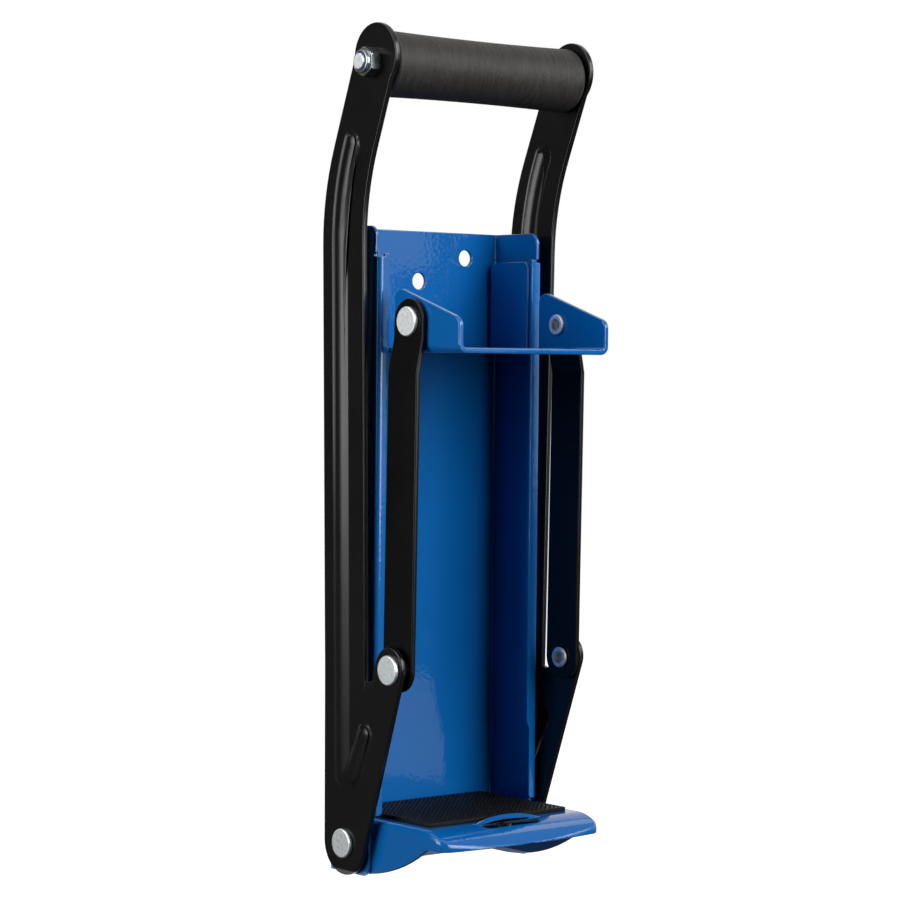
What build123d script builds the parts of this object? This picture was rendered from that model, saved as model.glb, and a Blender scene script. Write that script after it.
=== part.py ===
from build123d import *
import os
from math import asin, atan2, cos, degrees, dist, hypot, radians, sin, sqrt, tan

# Wall mounted lever can crusher for cans up to half a litre. Millimetres.
# X runs across the crusher, Y from its open front (-Y) to the wall (+Y), Z up.
# Heights are built from the lower edge of the back frame and the finished solids
# are lowered so that the origin is the centre screw hole, on the wall side.

# ---- back frame: one bent sheet, open to the front ----
FRAME_SHEET = 1.5
FRAME_WIDTH = 82.4
FRAME_HEIGHT = 247.5
FRAME_DEPTH = 28.0
FRAME_BEND = 2.2
FRAME_CORNER = 4.0
TAB_DEPTH = 26.0
FOOT_DEPTH = 25.0
RAIL_LOW, RAIL_HIGH = 23.5, 237.0
RAIL_WIDTH = 5.5
RAIL_NARROW_WIDTH = 4.2
RAIL_STEP_HEIGHT = 53.5
RAIL_STEP_RUN = 1.8
RAIL_END_RADIUS = 1.8
TAB_RELIEF = 1.2
SCREW_HOLE = 6.4
SCREW_SPREAD = 47.4
SCREW_HEIGHT, SCREW_RISE = 227.9, 9.7

# ---- base platform: drawn tray with a rolled front lip and a lanced opener tongue ----
BASE_SHEET = 2.0
BASE_TOP = 22.0
BASE_REACH = 70.4
BASE_BOW = 3.2
BASE_CORNER = 5.0
BASE_EDGE = 2.3
BASE_SIDE_GAP = 0.1
BASE_WALL_GAP = 0.2
LIP_RUN = 14.4
LIP_RADIUS = 17.7
LIP_LOW = 14.8
SKIRT_FLAT = 12.0
SKIRT_RADIUS = 78.0
OPENER_WIDTH = 28.0
OPENER_DEPTH = 4.6
OPENER_SETBACK = 8.5
TONGUE_RISE = 2.6
TONGUE_LENGTH = 3.7
TONGUE_FRONT_WIDTH = 34.0
TONGUE_BACK_WIDTH = 20.0
TONGUE_BACK_RISE = 0.3
TONGUE_SHEET = 1.8

# ---- base pad: ribbed rubber mat ----
PAD_SIDE_MARGIN = 5.7
PAD_THICK = 2.0
PAD_BACK, PAD_FRONT_GAP = 2.4, 0.4
PAD_CORNER = 1.5

# ---- press plate: channel whose sides are slotted to run on the rails ----
PRESS_SHEET = 2.2
PRESS_SIDE_GAP = 2.3
PRESS_UNDERSIDE = 199.4
PRESS_BEND = 3.4
PRESS_REACH = 71.0
EAR_BACK = 32.6
EAR_TOP, EAR_FRONT_TOP = 223.4, 212.3
EAR_TOP_FLAT = 4.5
EAR_CORNER, EAR_FRONT_CORNER = 3.6, 4.0
GUIDE_TOP = 236.2
GUIDE_CORNER = 3.0
GUIDE_RUN_GAP = 0.4
GUIDE_SETBACK = 1.2
PRESS_WALL_GAP = 0.7
RAIL_SIDE_GAP = 0.6

# ---- linkage: pivots in the side view, as (distance in front of the wall, height) ----
LEVER_PIVOT = (13.8, 12.0)
CRANK_PIVOT = (42.4, 80.8)
RAM_PIVOT = (44.0, 211.1)

# ---- lever arms: pressed plates, slightly splayed towards the grip ----
ARM_SHEET = 2.2
ARM_FOOT_RADIUS = 12.2
ARM_BACK, ARM_FRONT = 2.4, 27.4
ARM_LINK_GAP = 0.3
ARM_SPLAY = 0.95
ARM_BEND_START = 240.0
ARM_BEND_ANGLE = 21.6
ARM_BACK_RADIUS, ARM_FRONT_RADIUS = 100.0, 98.0
ARM_TOP_RUN = 33.2
EYE_BEYOND_PIVOT = 2.6
EAR_RADIUS = 7.9
EAR_RISE, EAR_SETBACK = 0.6, 0.5
SLOT_LOW = 77.8
SLOT_RADIUS = 2.4
SLOT_OPENING = 9.0
BEAD_AXIS = 13.3
BEAD_WIDTH = 10.2
BEAD_HEIGHT = 1.5
BEAD_LOW = 38.5
BEAD_END_ANGLE = 22.4
BEAD_FORK_FOOT = (19.6, 38.5)
BEAD_FORK_TIP = (27.6, 55.0)
BEAD_STEPS = ((0.0, 1.0), (0.34, 0.83), (0.67, 0.6), (0.88, 0.36), (1.0, 0.12))

# ---- links: joggled flat bars ----
LINK_SHEET = 2.0
LINK_WIDTH = 17.3
LINK_BASE_GAP = 0.6
LINK_EAR_GAP = 0.25
JOGGLE_START, JOGGLE_RUN = 6.5, 12.0
JOGGLE_SOFTENING = 1.2

# ---- semi tubular rivets ----
RIVET_SHANK = 6.2
RIVET_HEAD = 11.3
RIVET_HEAD_THICK = 1.3
RIVET_HEAD_EDGE = 0.6
RIVET_ROLL = 8.1
RIVET_ROLL_THICK = 1.2
RIVET_SHOULDER = 9.6
RIVET_BORE, RIVET_BORE_DEPTH = 4.6, 4.0
RUNNING_GAP = 0.06
HEAD_GAP = 0.1
SPACER_DIAMETER = 15.0
SPACER_GAP = 0.2

# ---- handle: long bolt, spacer tube, sleeve and locking nut ----
BOLT_DIAMETER = 6.0
HEX_ACROSS_FLATS = 10.0
BOLT_HEAD_HEIGHT = 4.0
NUT_HEIGHT = 4.7
NUT_COLLAR = 8.6
NUT_COLLAR_HEIGHT = 1.5
INSERT_THICK, INSERT_WALL = 1.0, 0.8
BOLT_STICK_OUT = 0.8
TUBE_DIAMETER, TUBE_BORE = 12.7, 6.6
SLEEVE_DIAMETER = 25.0
SLEEVE_END_GAP = 0.4
SLEEVE_WAIST = 0.6
SLEEVE_EDGE = 1.0
FIT_GAP = 0.05
BOLT_GAP = 0.25

# ---- worked out from the sizes above ----
HALF_FRAME = FRAME_WIDTH / 2
HALF_PRESS = HALF_FRAME - FRAME_SHEET - PRESS_SIDE_GAP
HALF_BASE = HALF_FRAME - FRAME_SHEET - BASE_SIDE_GAP
LIP_START = BASE_REACH - LIP_RUN
OPENER_FRONT = BASE_REACH - OPENER_SETBACK
TONGUE_BACK = OPENER_FRONT - OPENER_DEPTH - TONGUE_LENGTH
PAD_FRONT = TONGUE_BACK - PAD_FRONT_GAP
PAD_WIDTH = 2 * (HALF_BASE - PAD_SIDE_MARGIN)
RAIL_EDGE = HALF_FRAME - RAIL_WIDTH
LINK_INNER = HALF_BASE + LINK_BASE_GAP
LINK_OUTER = LINK_INNER + LINK_SHEET
LINK_TOP_INNER = HALF_PRESS + LINK_EAR_GAP
ARM_INNER_AT_PIVOT = LINK_OUTER + ARM_LINK_GAP
EAR_CENTRE = (CRANK_PIVOT[0] - EAR_SETBACK, CRANK_PIVOT[1] + EAR_RISE)
BEND_SIN, BEND_COS = sin(radians(ARM_BEND_ANGLE)), cos(radians(ARM_BEND_ANGLE))
MEAN_RADIUS = (ARM_BACK_RADIUS + ARM_FRONT_RADIUS) / 2
HANDLE_PIVOT = (
    (ARM_BACK + ARM_FRONT) / 2 + MEAN_RADIUS * (1 - BEND_COS) + ARM_TOP_RUN * BEND_SIN,
    ARM_BEND_START + MEAN_RADIUS * BEND_SIN + ARM_TOP_RUN * BEND_COS,
)
BIG = 400.0


def arm_inner(height):
    """Distance from the middle plane to the inner face of an arm at a height."""
    return ARM_INNER_AT_PIVOT + (height - LEVER_PIVOT[1]) * tan(radians(ARM_SPLAY))


def side_plane(offset=0.0):
    """Plane of the side view at X = offset: local x points to the front, local y up."""
    return Plane(origin=(offset, 0, 0), x_dir=(0, -1, 0), z_dir=(-1, 0, 0))


def side_slab(sketch, low, high):
    """Prism of a side view sketch between two distances from the middle plane."""
    return extrude(side_plane(high) * sketch, amount=high - low)


def round_bar(radius, low, high, pivot):
    """Round bar along X between two X values, centred on a pivot of the side view."""
    bar = Cylinder(radius, high - low, align=(Align.CENTER, Align.CENTER, Align.MIN))
    return Pos(low, -pivot[0], pivot[1]) * (Rot(0, 90, 0) * bar)


def hexagon_bar(across_flats, low, high, pivot):
    """Hexagonal bar along X between two X values, centred on a pivot of the side view."""
    bar = extrude(RegularPolygon(across_flats / 2, 6, major_radius=False), amount=high - low)
    return Pos(low, -pivot[0], pivot[1]) * (Rot(0, 90, 0) * bar)


def round_rims(bar, radius, *places):
    """Fillet the circular edges of a bar along X at the given X values."""
    circles = bar.edges().filter_by(GeomType.CIRCLE)
    rims = [e for e in circles if any(abs(e.center().X - x) < 0.01 for x in places)]
    widest = max(e.radius for e in rims)
    return fillet([e for e in rims if e.radius > widest - 0.01], radius)


def mirrored(solid):
    """The same piece on the other side of the middle plane."""
    return mirror(solid, about=Plane.YZ)


def disc(radius, centre):
    """Disc in the side view."""
    return Pos(*centre) * Circle(radius)


def stroke(width, points):
    """Straight band of a given width through points of the side view, with round ends."""
    band = disc(width / 2, points[0])
    for start, end in zip(points, points[1:]):
        run, rise = end[0] - start[0], end[1] - start[1]
        middle = ((start[0] + end[0]) / 2, (start[1] + end[1]) / 2)
        leg = Pos(*middle) * (Rot(0, 0, degrees(atan2(rise, run))) * Rectangle(hypot(run, rise), width))
        band += leg + disc(width / 2, end)
    return band


def curved_band(width, axis, low, turn):
    """Band of even width up an arm: straight, then round the bend by an angle in degrees."""
    radius = MEAN_RADIUS + (ARM_BACK + ARM_FRONT) / 2 - axis
    swing = radians(turn)
    straight = Pos(axis, (low + ARM_BEND_START) / 2) * Rectangle(width, ARM_BEND_START - low)
    ring = Circle(radius + width / 2) - Circle(radius - width / 2)
    far = 2 * radius
    wedge = make_face(Polyline((0, 0), (-far, 0), (-far * cos(swing), far * sin(swing)), close=True))
    bend = Pos(axis + radius, ARM_BEND_START) * (ring & wedge)
    end = (axis + radius * (1 - cos(swing)), ARM_BEND_START + radius * sin(swing))
    return disc(width / 2, (axis, low)) + straight + bend + disc(width / 2, end)


def blade(low):
    """Blade of an arm above a height: straight, bent forward, rounded past the handle bolt."""
    cap = EYE_BEYOND_PIVOT + ARM_TOP_RUN
    half_angle = radians(ARM_BEND_ANGLE / 2)
    edges = []
    for foot, radius in ((ARM_BACK, ARM_BACK_RADIUS), (ARM_FRONT, ARM_FRONT_RADIUS)):
        start = (foot, ARM_BEND_START)
        middle = (foot + radius * (1 - cos(half_angle)), ARM_BEND_START + radius * sin(half_angle))
        end = (foot + radius * (1 - BEND_COS), ARM_BEND_START + radius * BEND_SIN)
        run = cap + (MEAN_RADIUS - radius) * BEND_SIN * BEND_COS
        tip = (end[0] + run * BEND_SIN, end[1] + run * BEND_COS)
        edges.append((start, middle, end, tip))
    back, front = edges
    outline = Polyline((ARM_FRONT, low), (ARM_BACK, low), back[0])
    outline += ThreePointArc(back[0], back[1], back[2]) + Line(back[2], back[3])
    outline += Line(back[3], front[3]) + Line(front[3], front[2])
    outline += ThreePointArc(front[2], front[1], front[0]) + Line(front[0], (ARM_FRONT, low))
    centre = ((back[3][0] + front[3][0]) / 2, (back[3][1] + front[3][1]) / 2)
    return make_face(outline) + disc(dist(back[3], front[3]) / 2, centre)


def tangent_strip(first, first_radius, second, second_radius):
    """Two discs of the side view and the area between their outer tangents."""
    heading = atan2(second[1] - first[1], second[0] - first[0])
    swing = asin((first_radius - second_radius) / hypot(second[0] - first[0], second[1] - first[1]))
    corners = []
    for side in (1, -1):
        angle = heading + side * (radians(90) - swing)
        for centre, radius in ((first, first_radius), (second, second_radius)):
            corners.append((centre[0] + radius * cos(angle), centre[1] + radius * sin(angle)))
    outline = Polyline(corners[0], corners[1], corners[3], corners[2], close=True)
    return make_face(outline) + disc(first_radius, first) + disc(second_radius, second)


def frame_section():
    """Plan view of the bent sheet: back, two walls and two inturned rails."""
    middle = Pos(0, -FRAME_DEPTH / 2)
    outer = middle * RectangleRounded(FRAME_WIDTH, FRAME_DEPTH, FRAME_BEND)
    inner = middle * RectangleRounded(
        FRAME_WIDTH - 2 * FRAME_SHEET, FRAME_DEPTH - 2 * FRAME_SHEET, FRAME_BEND - FRAME_SHEET
    )
    mouth = Pos(0, -FRAME_DEPTH) * Rectangle(2 * RAIL_EDGE, 4 * FRAME_SHEET)
    return outer - inner - mouth


def screw_holes():
    """Cutters for the three wall screws."""
    centres = [(0.0, SCREW_HEIGHT)]
    centres += [(side * SCREW_SPREAD / 2, SCREW_HEIGHT + SCREW_RISE) for side in (-1, 1)]
    drill = Rot(90, 0, 0) * Cylinder(SCREW_HOLE / 2, 6 * FRAME_SHEET)
    return [Pos(x, 0, z) * drill for x, z in centres]


def back_frame():
    """Back plate, side walls with upper tabs, and the rails that guide the press plate."""
    body = extrude(frame_section(), amount=FRAME_HEIGHT)
    above = Box(2 * FRAME_WIDTH, FRAME_DEPTH, FRAME_HEIGHT, align=(Align.CENTER, Align.MAX, Align.MIN))
    body -= Pos(0, -TAB_DEPTH, RAIL_HIGH) * above
    body -= Pos(0, -FOOT_DEPTH, RAIL_LOW - FRAME_HEIGHT) * above
    for depth, height in ((TAB_DEPTH, FRAME_HEIGHT), (FOOT_DEPTH, 0.0)):
        corners = [
            e for e in body.edges().filter_by(Axis.X)
            if abs(e.center().Y + depth) < 0.01 and abs(e.center().Z - height) < 0.01
        ]
        body = fillet(corners, FRAME_CORNER)
    narrowing = RAIL_WIDTH - RAIL_NARROW_WIDTH
    for side in (-1, 1):
        step = Pos(side * RAIL_EDGE, RAIL_STEP_HEIGHT) * make_face(
            Polyline(
                (0, 0), (side * narrowing, -RAIL_STEP_RUN), (side * narrowing, -RAIL_STEP_HEIGHT),
                (-side * narrowing, -RAIL_STEP_HEIGHT), (-side * narrowing, 0), close=True,
            )
        )
        body -= Pos(0, -FRAME_DEPTH + 2 * FRAME_SHEET, 0) * extrude(Plane.XZ * step, amount=4 * FRAME_SHEET)
        relief = Box(4 * FRAME_SHEET, FRAME_DEPTH - TAB_DEPTH + TAB_RELIEF, TAB_RELIEF, align=Align.MAX)
        body -= Pos(
            side * HALF_FRAME + 2 * FRAME_SHEET, -TAB_DEPTH + TAB_RELIEF, RAIL_HIGH
        ) * relief
    tips = [
        e for e in body.edges().filter_by(Axis.Y)
        if abs(e.center().Z - RAIL_LOW) < 0.01 and e.center().Y < -FRAME_DEPTH + FRAME_SHEET
    ]
    body = fillet(tips, RAIL_END_RADIUS)
    for hole in screw_holes():
        body -= hole
    return body - round_bar(RIVET_SHANK / 2 + FIT_GAP, -FRAME_WIDTH, FRAME_WIDTH, LEVER_PIVOT)


def tray_plan(inset):
    """Plan view of the platform: straight sides, round front corners, bowed front."""
    side, back = HALF_BASE - inset, FRAME_BEND + BASE_WALL_GAP
    front, shoulder = BASE_REACH - inset, BASE_REACH - BASE_BOW - inset
    bow = ThreePointArc((-side, -shoulder), (0, -front), (side, -shoulder))
    sides = Polyline((side, -shoulder), (side, -back), (-side, -back), (-side, -shoulder))
    plan = make_face(bow + sides)
    return fillet(plan.vertices().sort_by(Axis.Y)[:2], BASE_CORNER - inset)


def tray_side(drop):
    """Side view of the platform's outer skin, or of its inner skin one sheet lower."""
    top = BASE_TOP - drop
    radius = LIP_RADIUS - drop
    end = BASE_REACH + BASE_SHEET
    fall = top - radius + sqrt(radius**2 - min(end - LIP_START, radius * 0.98) ** 2)
    half = (LIP_START + end) / 2
    half_height = top - radius + sqrt(radius**2 - (half - LIP_START) ** 2)
    outline = Line((0, -BASE_TOP), (0, top)) + Line((0, top), (LIP_START, top))
    outline += ThreePointArc((LIP_START, top), (half, half_height), (end, fall))
    outline += Polyline((end, fall), (end, -BASE_TOP), (0, -BASE_TOP))
    return make_face(outline)


def tray_skin(inset):
    """Solid bounded by the platform's outer skin, or its inner one, with rounded side edges."""
    skin = extrude(tray_plan(inset), amount=2 * BASE_TOP)
    skin &= side_slab(tray_side(inset), -HALF_FRAME, HALF_FRAME)
    rims = []
    for edge in skin.edges():
        box = edge.bounding_box()
        level = box.max.Z > BASE_TOP - inset - 0.01 and box.min.Z > BASE_TOP / 2
        if level and abs(abs(edge.center().X) - HALF_BASE + inset) < 0.01:
            rims.append(edge)
    return fillet(rims, BASE_EDGE - inset)


def skirt_side():
    """Side view of what stays below the platform: skirts that sweep up to the lip."""
    rise = SKIRT_RADIUS - LIP_LOW
    meet = SKIRT_FLAT + sqrt(SKIRT_RADIUS**2 - rise**2)
    middle = (SKIRT_FLAT + meet) / 2
    middle_height = SKIRT_RADIUS - sqrt(SKIRT_RADIUS**2 - (middle - SKIRT_FLAT) ** 2)
    end = BASE_REACH + BASE_SHEET
    outline = Polyline((0, 0), (SKIRT_FLAT, 0))
    outline += ThreePointArc((SKIRT_FLAT, 0), (middle, middle_height), (meet, LIP_LOW))
    outline += Polyline((meet, LIP_LOW), (end, LIP_LOW), (end, 2 * BASE_TOP), (0, 2 * BASE_TOP), (0, 0))
    return make_face(outline)


def tongue_bulge(drop, stretch):
    """Half cone that lifts the opener's tongue out of the platform, or its hollow."""
    run = TONGUE_LENGTH + stretch
    rise = TONGUE_BACK_RISE + (TONGUE_RISE - TONGUE_BACK_RISE) * run / TONGUE_LENGTH
    spread = (TONGUE_FRONT_WIDTH - TONGUE_BACK_WIDTH) * run / TONGUE_LENGTH / 2
    sections = []
    for depth, half, lift in (
        (TONGUE_BACK, TONGUE_BACK_WIDTH / 2, TONGUE_BACK_RISE),
        (TONGUE_BACK + run, TONGUE_BACK_WIDTH / 2 + spread, rise),
    ):
        floor = BASE_TOP - drop
        deep = floor - BASE_SHEET
        arch = ThreePointArc((-half, floor), (0, floor + lift), (half, floor))
        rest = Polyline((half, floor), (half, deep), (-half, deep), (-half, floor))
        across = Plane(origin=(0, -depth, 0), x_dir=(1, 0, 0), z_dir=(0, -1, 0))
        sections.append(across * make_face(arch + rest))
    return loft(sections, ruled=True)


def base_platform():
    """Drawn platform with skirts inside the frame walls, rolled lip and bottle opener."""
    clear_width, clear_height = 2 * (HALF_BASE - BASE_SHEET), BASE_TOP - BASE_SHEET
    open_back = Box(clear_width, LIP_START, clear_height, align=(Align.CENTER, Align.MAX, Align.MIN))
    body = tray_skin(0) - tray_skin(BASE_SHEET) - open_back
    body &= side_slab(skirt_side(), -HALF_FRAME, HALF_FRAME)
    hole = SlotOverall(OPENER_WIDTH, OPENER_DEPTH)
    body -= Pos(0, -(OPENER_FRONT - OPENER_DEPTH / 2), 0) * extrude(hole, amount=2 * BASE_TOP)
    body += tongue_bulge(0, 0)
    body -= tongue_bulge(TONGUE_SHEET, TONGUE_SHEET)
    return body - round_bar(RIVET_SHANK / 2 + FIT_GAP, -FRAME_WIDTH, FRAME_WIDTH, LEVER_PIVOT)


def base_pad():
    """Rubber mat that lies on the platform."""
    length = PAD_FRONT - PAD_BACK
    mat = extrude(RectangleRounded(PAD_WIDTH, length, PAD_CORNER), amount=PAD_THICK)
    return Pos(0, -(PAD_FRONT + PAD_BACK) / 2, BASE_TOP) * mat


def press_side():
    """Side view of the press plate: floor, sloping ear and guide flange."""
    deck = PRESS_UNDERSIDE + PRESS_SHEET
    back = FRAME_SHEET + PRESS_WALL_GAP
    floor = make_face(
        Polyline(
            (back, PRESS_UNDERSIDE), (PRESS_REACH, PRESS_UNDERSIDE),
            (PRESS_REACH, deck), (back, deck), close=True,
        )
    )
    ear = make_face(
        Polyline(
            (EAR_BACK, PRESS_UNDERSIDE), (EAR_BACK, EAR_TOP), (EAR_BACK + EAR_TOP_FLAT, EAR_TOP),
            (PRESS_REACH, EAR_FRONT_TOP), (PRESS_REACH, PRESS_UNDERSIDE), close=True,
        )
    )
    tops = ear.vertices().sort_by(Axis.Y)[2:]
    ear = fillet([tops[0]], EAR_FRONT_CORNER)
    ear = fillet(ear.vertices().sort_by(Axis.Y)[-2:].sort_by(Axis.X)[:1], EAR_CORNER)
    flange_back, flange_front = back + GUIDE_SETBACK, FRAME_DEPTH - FRAME_SHEET - GUIDE_RUN_GAP
    flange = make_face(
        Polyline(
            (flange_back, PRESS_UNDERSIDE), (flange_back, GUIDE_TOP), (flange_front, GUIDE_TOP),
            (flange_front, PRESS_UNDERSIDE), close=True,
        )
    )
    flange = fillet(flange.vertices().sort_by(Axis.Y)[-2:], GUIDE_CORNER)
    return floor + ear + flange


def press_plate():
    """Channel bent from one blank; each side is slotted to straddle a rail."""
    height = GUIDE_TOP - PRESS_UNDERSIDE
    blank = Rectangle(2 * HALF_PRESS, 2 * height)
    blank = fillet(blank.vertices(), PRESS_BEND)
    hollow = Rectangle(2 * (HALF_PRESS - PRESS_SHEET), 2 * (height - PRESS_SHEET))
    hollow = fillet(hollow.vertices(), PRESS_BEND - PRESS_SHEET)
    section = Pos(0, GUIDE_TOP) * (blank - hollow)
    channel = extrude(Plane.XZ * section, amount=PRESS_REACH)
    body = channel & side_slab(press_side(), -HALF_PRESS, HALF_PRESS)
    slot_back = FRAME_DEPTH - FRAME_SHEET - GUIDE_RUN_GAP
    slot = Box(2 * HALF_PRESS, EAR_BACK - slot_back, 4 * height, align=(Align.MIN, Align.MAX, Align.CENTER))
    slot = Pos(RAIL_EDGE - RAIL_SIDE_GAP, -slot_back, PRESS_UNDERSIDE) * slot
    body = body - slot - mirrored(slot)
    return body - round_bar(RIVET_SHANK / 2 + FIT_GAP, -FRAME_WIDTH, FRAME_WIDTH, RAM_PIVOT)


def arm_outline():
    """Side view of an arm: foot, web with the crank ear, straight blade and handle eye."""
    web = tangent_strip(LEVER_PIVOT, ARM_FOOT_RADIUS, EAR_CENTRE, EAR_RADIUS)
    half_width = (ARM_FRONT - ARM_BACK) / 2
    back = tangent_strip(LEVER_PIVOT, ARM_FOOT_RADIUS, (ARM_BACK + half_width, SLOT_LOW), half_width)
    gusset = make_face(
        Polyline(LEVER_PIVOT, (ARM_FRONT, SLOT_LOW - SLOT_RADIUS), EAR_CENTRE, close=True)
    )
    slot_top = SLOT_LOW + EAR_RADIUS + SLOT_OPENING
    slot = make_face(
        Polyline(
            (ARM_FRONT, SLOT_LOW), (ARM_FRONT, slot_top), (ARM_FRONT + SLOT_OPENING, slot_top),
            (ARM_FRONT + 2 * SLOT_RADIUS, SLOT_LOW), close=True,
        )
    ) + disc(SLOT_RADIUS, (ARM_FRONT + SLOT_RADIUS, SLOT_LOW))
    return web + back + gusset + blade(SLOT_LOW) - slot


def bead_outline(width):
    """Side view of the stiffening bead at a width, forked at the foot of the arm."""
    stem = curved_band(width, BEAD_AXIS, BEAD_LOW, BEAD_END_ANGLE)
    return stem + stroke(width, [(BEAD_AXIS, BEAD_LOW), BEAD_FORK_FOOT, BEAD_FORK_TIP])


def bead(base):
    """Rounded ridge of the bead, raised outwards from a distance off the middle plane."""
    levels = [(base + up * BEAD_HEIGHT, share * BEAD_WIDTH) for up, share in BEAD_STEPS]
    layers = []
    for (low, wide), (high, narrow) in zip(levels, levels[1:]):
        layers.append(loft([side_plane(low) * bead_outline(wide), side_plane(high) * bead_outline(narrow)]))
    return layers[0] + layers[1:]


def right_arm():
    """Pressed arm with its bead raised on the outside and hollow on the inside."""
    inner, outer = ARM_INNER_AT_PIVOT, ARM_INNER_AT_PIVOT + ARM_SHEET
    plate = side_slab(arm_outline(), inner, outer)
    arm = plate + bead(outer) - bead(inner)
    arm -= round_bar(RIVET_SHANK / 2 + RUNNING_GAP, 0, FRAME_WIDTH, LEVER_PIVOT)
    arm -= round_bar(RIVET_SHANK / 2 + FIT_GAP, 0, FRAME_WIDTH, CRANK_PIVOT)
    arm -= round_bar(BOLT_DIAMETER / 2 + BOLT_GAP, 0, FRAME_WIDTH, HANDLE_PIVOT)
    hinge = Pos(inner, 0, LEVER_PIVOT[1])
    return hinge * (Rot(0, ARM_SPLAY, 0) * (hinge.inverse() * arm))


def right_link():
    """Flat bar set inwards near its upper end to lie against the press plate's ear."""
    low, high = CRANK_PIVOT[1] - LINK_WIDTH, RAM_PIVOT[1] + LINK_WIDTH
    step_high = RAM_PIVOT[1] - JOGGLE_START
    step_low = step_high - JOGGLE_RUN
    path = [(LINK_INNER, low), (LINK_INNER, step_low), (LINK_TOP_INNER, step_high), (LINK_TOP_INNER, high)]
    far_side = [(x + LINK_SHEET, z) for x, z in reversed(path)]
    strip = make_face(Polyline(*path, *far_side, close=True))
    bends = [v for v in strip.vertices() if step_low - 1 < v.Y < step_high + 1]
    strip = fillet(bends, JOGGLE_SOFTENING * LINK_SHEET)
    bar = extrude(Plane.XZ * strip, amount=2 * RAM_PIVOT[0])
    bar &= side_slab(stroke(LINK_WIDTH, [CRANK_PIVOT, RAM_PIVOT]), LINK_TOP_INNER, LINK_OUTER)
    bar -= round_bar(RIVET_SHANK / 2 + RUNNING_GAP, 0, FRAME_WIDTH, CRANK_PIVOT)
    return bar - round_bar(RIVET_SHANK / 2 + FIT_GAP, 0, FRAME_WIDTH, RAM_PIVOT)


def rivet_head(base, pivot):
    """Low round head of a rivet, seated at a distance from the middle plane."""
    head = round_bar(RIVET_HEAD / 2, base, base + RIVET_HEAD_THICK, pivot)
    return round_rims(head, RIVET_HEAD_EDGE, base + RIVET_HEAD_THICK)


def rivet_end(face, pivot):
    """Rolled hollow end of a rivet on the inner side of a face."""
    roll = round_bar(RIVET_ROLL / 2, face - RIVET_ROLL_THICK, face, pivot)
    roll = round_rims(roll, RIVET_ROLL_THICK * 0.45, face - RIVET_ROLL_THICK, face)
    return roll


def rivet_bore(face, pivot):
    """Blind bore of the hollow end of a rivet."""
    mouth = face - RIVET_ROLL_THICK
    return round_bar(RIVET_BORE / 2, mouth - RIVET_ROLL_THICK, mouth + RIVET_BORE_DEPTH, pivot)


def rivet(seat, face, pivot):
    """Whole rivet: head on its seat, shank, and end rolled over against a face."""
    body = rivet_head(seat, pivot) + round_bar(RIVET_SHANK / 2, face - RIVET_ROLL_THICK / 2, seat, pivot)
    return body + rivet_end(face, pivot) - rivet_bore(face, pivot)


def crank_rivet():
    """Rivet of the crank, with a shoulder that keeps arm and link apart."""
    body = rivet(arm_seat(CRANK_PIVOT), LINK_INNER - HEAD_GAP, CRANK_PIVOT)
    tilt = RIVET_SHOULDER / 2 * tan(radians(ARM_SPLAY))
    high = arm_inner(CRANK_PIVOT[1]) - tilt - HEAD_GAP
    return body + round_bar(RIVET_SHOULDER / 2, LINK_OUTER + HEAD_GAP, high, CRANK_PIVOT)


def arm_seat(pivot):
    """Distance from the middle plane at which a rivet head clears the splayed arm."""
    tilt = RIVET_HEAD / 2 * tan(radians(ARM_SPLAY))
    return arm_inner(pivot[1]) + ARM_SHEET / cos(radians(ARM_SPLAY)) + tilt + HEAD_GAP


def pivot_spacer():
    """Washer on the lever pivot that leaves room for the link between frame and arm."""
    high = arm_inner(LEVER_PIVOT[1]) - SPACER_GAP
    ring = round_bar(SPACER_DIAMETER / 2, HALF_FRAME, high, LEVER_PIVOT)
    return ring - round_bar(RIVET_SHANK / 2 + FIT_GAP, 0, FRAME_WIDTH, LEVER_PIVOT)


def grip_half_length(radius, gap):
    """Half length of a handle piece that just clears both splayed arms."""
    return arm_inner(HANDLE_PIVOT[1] - radius) - gap


def grip_tube():
    """Steel tube that keeps the arms apart on the handle bolt."""
    half = grip_half_length(TUBE_DIAMETER / 2, FIT_GAP)
    tube = round_bar(TUBE_DIAMETER / 2, -half, half, HANDLE_PIVOT)
    return tube - round_bar(TUBE_BORE / 2, -BIG, BIG, HANDLE_PIVOT)


def grip_sleeve():
    """Foam sleeve with a slight waist, drawn over the tube."""
    half = grip_half_length(SLEEVE_DIAMETER / 2, SLEEVE_END_GAP)
    bore, rim = TUBE_DIAMETER / 2 + FIT_GAP, SLEEVE_DIAMETER / 2
    outline = ThreePointArc((-half, rim), (0, rim - SLEEVE_WAIST), (half, rim))
    outline += Polyline((half, rim), (half, bore), (-half, bore), (-half, rim))
    face = make_face(outline)
    face = fillet(face.vertices().sort_by(Axis.Y)[-2:], SLEEVE_EDGE)
    return Pos(0, -HANDLE_PIVOT[0], HANDLE_PIVOT[1]) * revolve(face, Axis.X)


def handle_faces():
    """Distance from the middle plane to the seats of the bolt head and the nut."""
    tilt = HEX_ACROSS_FLATS / sqrt(3) * tan(radians(ARM_SPLAY))
    return arm_inner(HANDLE_PIVOT[1]) + ARM_SHEET / cos(radians(ARM_SPLAY)) + tilt + FIT_GAP


def chamfered_hexagon(low, high, pivot, outer_end):
    """Hexagon along X whose corners are turned off at its outer end."""
    body = hexagon_bar(HEX_ACROSS_FLATS, low, high, pivot)
    radius = HEX_ACROSS_FLATS / sqrt(3)
    turned = round_bar(radius, low, high, pivot)
    circles = turned.edges().filter_by(GeomType.CIRCLE)
    rim = [e for e in circles if abs(e.center().X - outer_end) < 0.01]
    corner = radius - HEX_ACROSS_FLATS / 2
    return body & chamfer(rim, corner + FIT_GAP, corner * 0.6)


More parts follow.
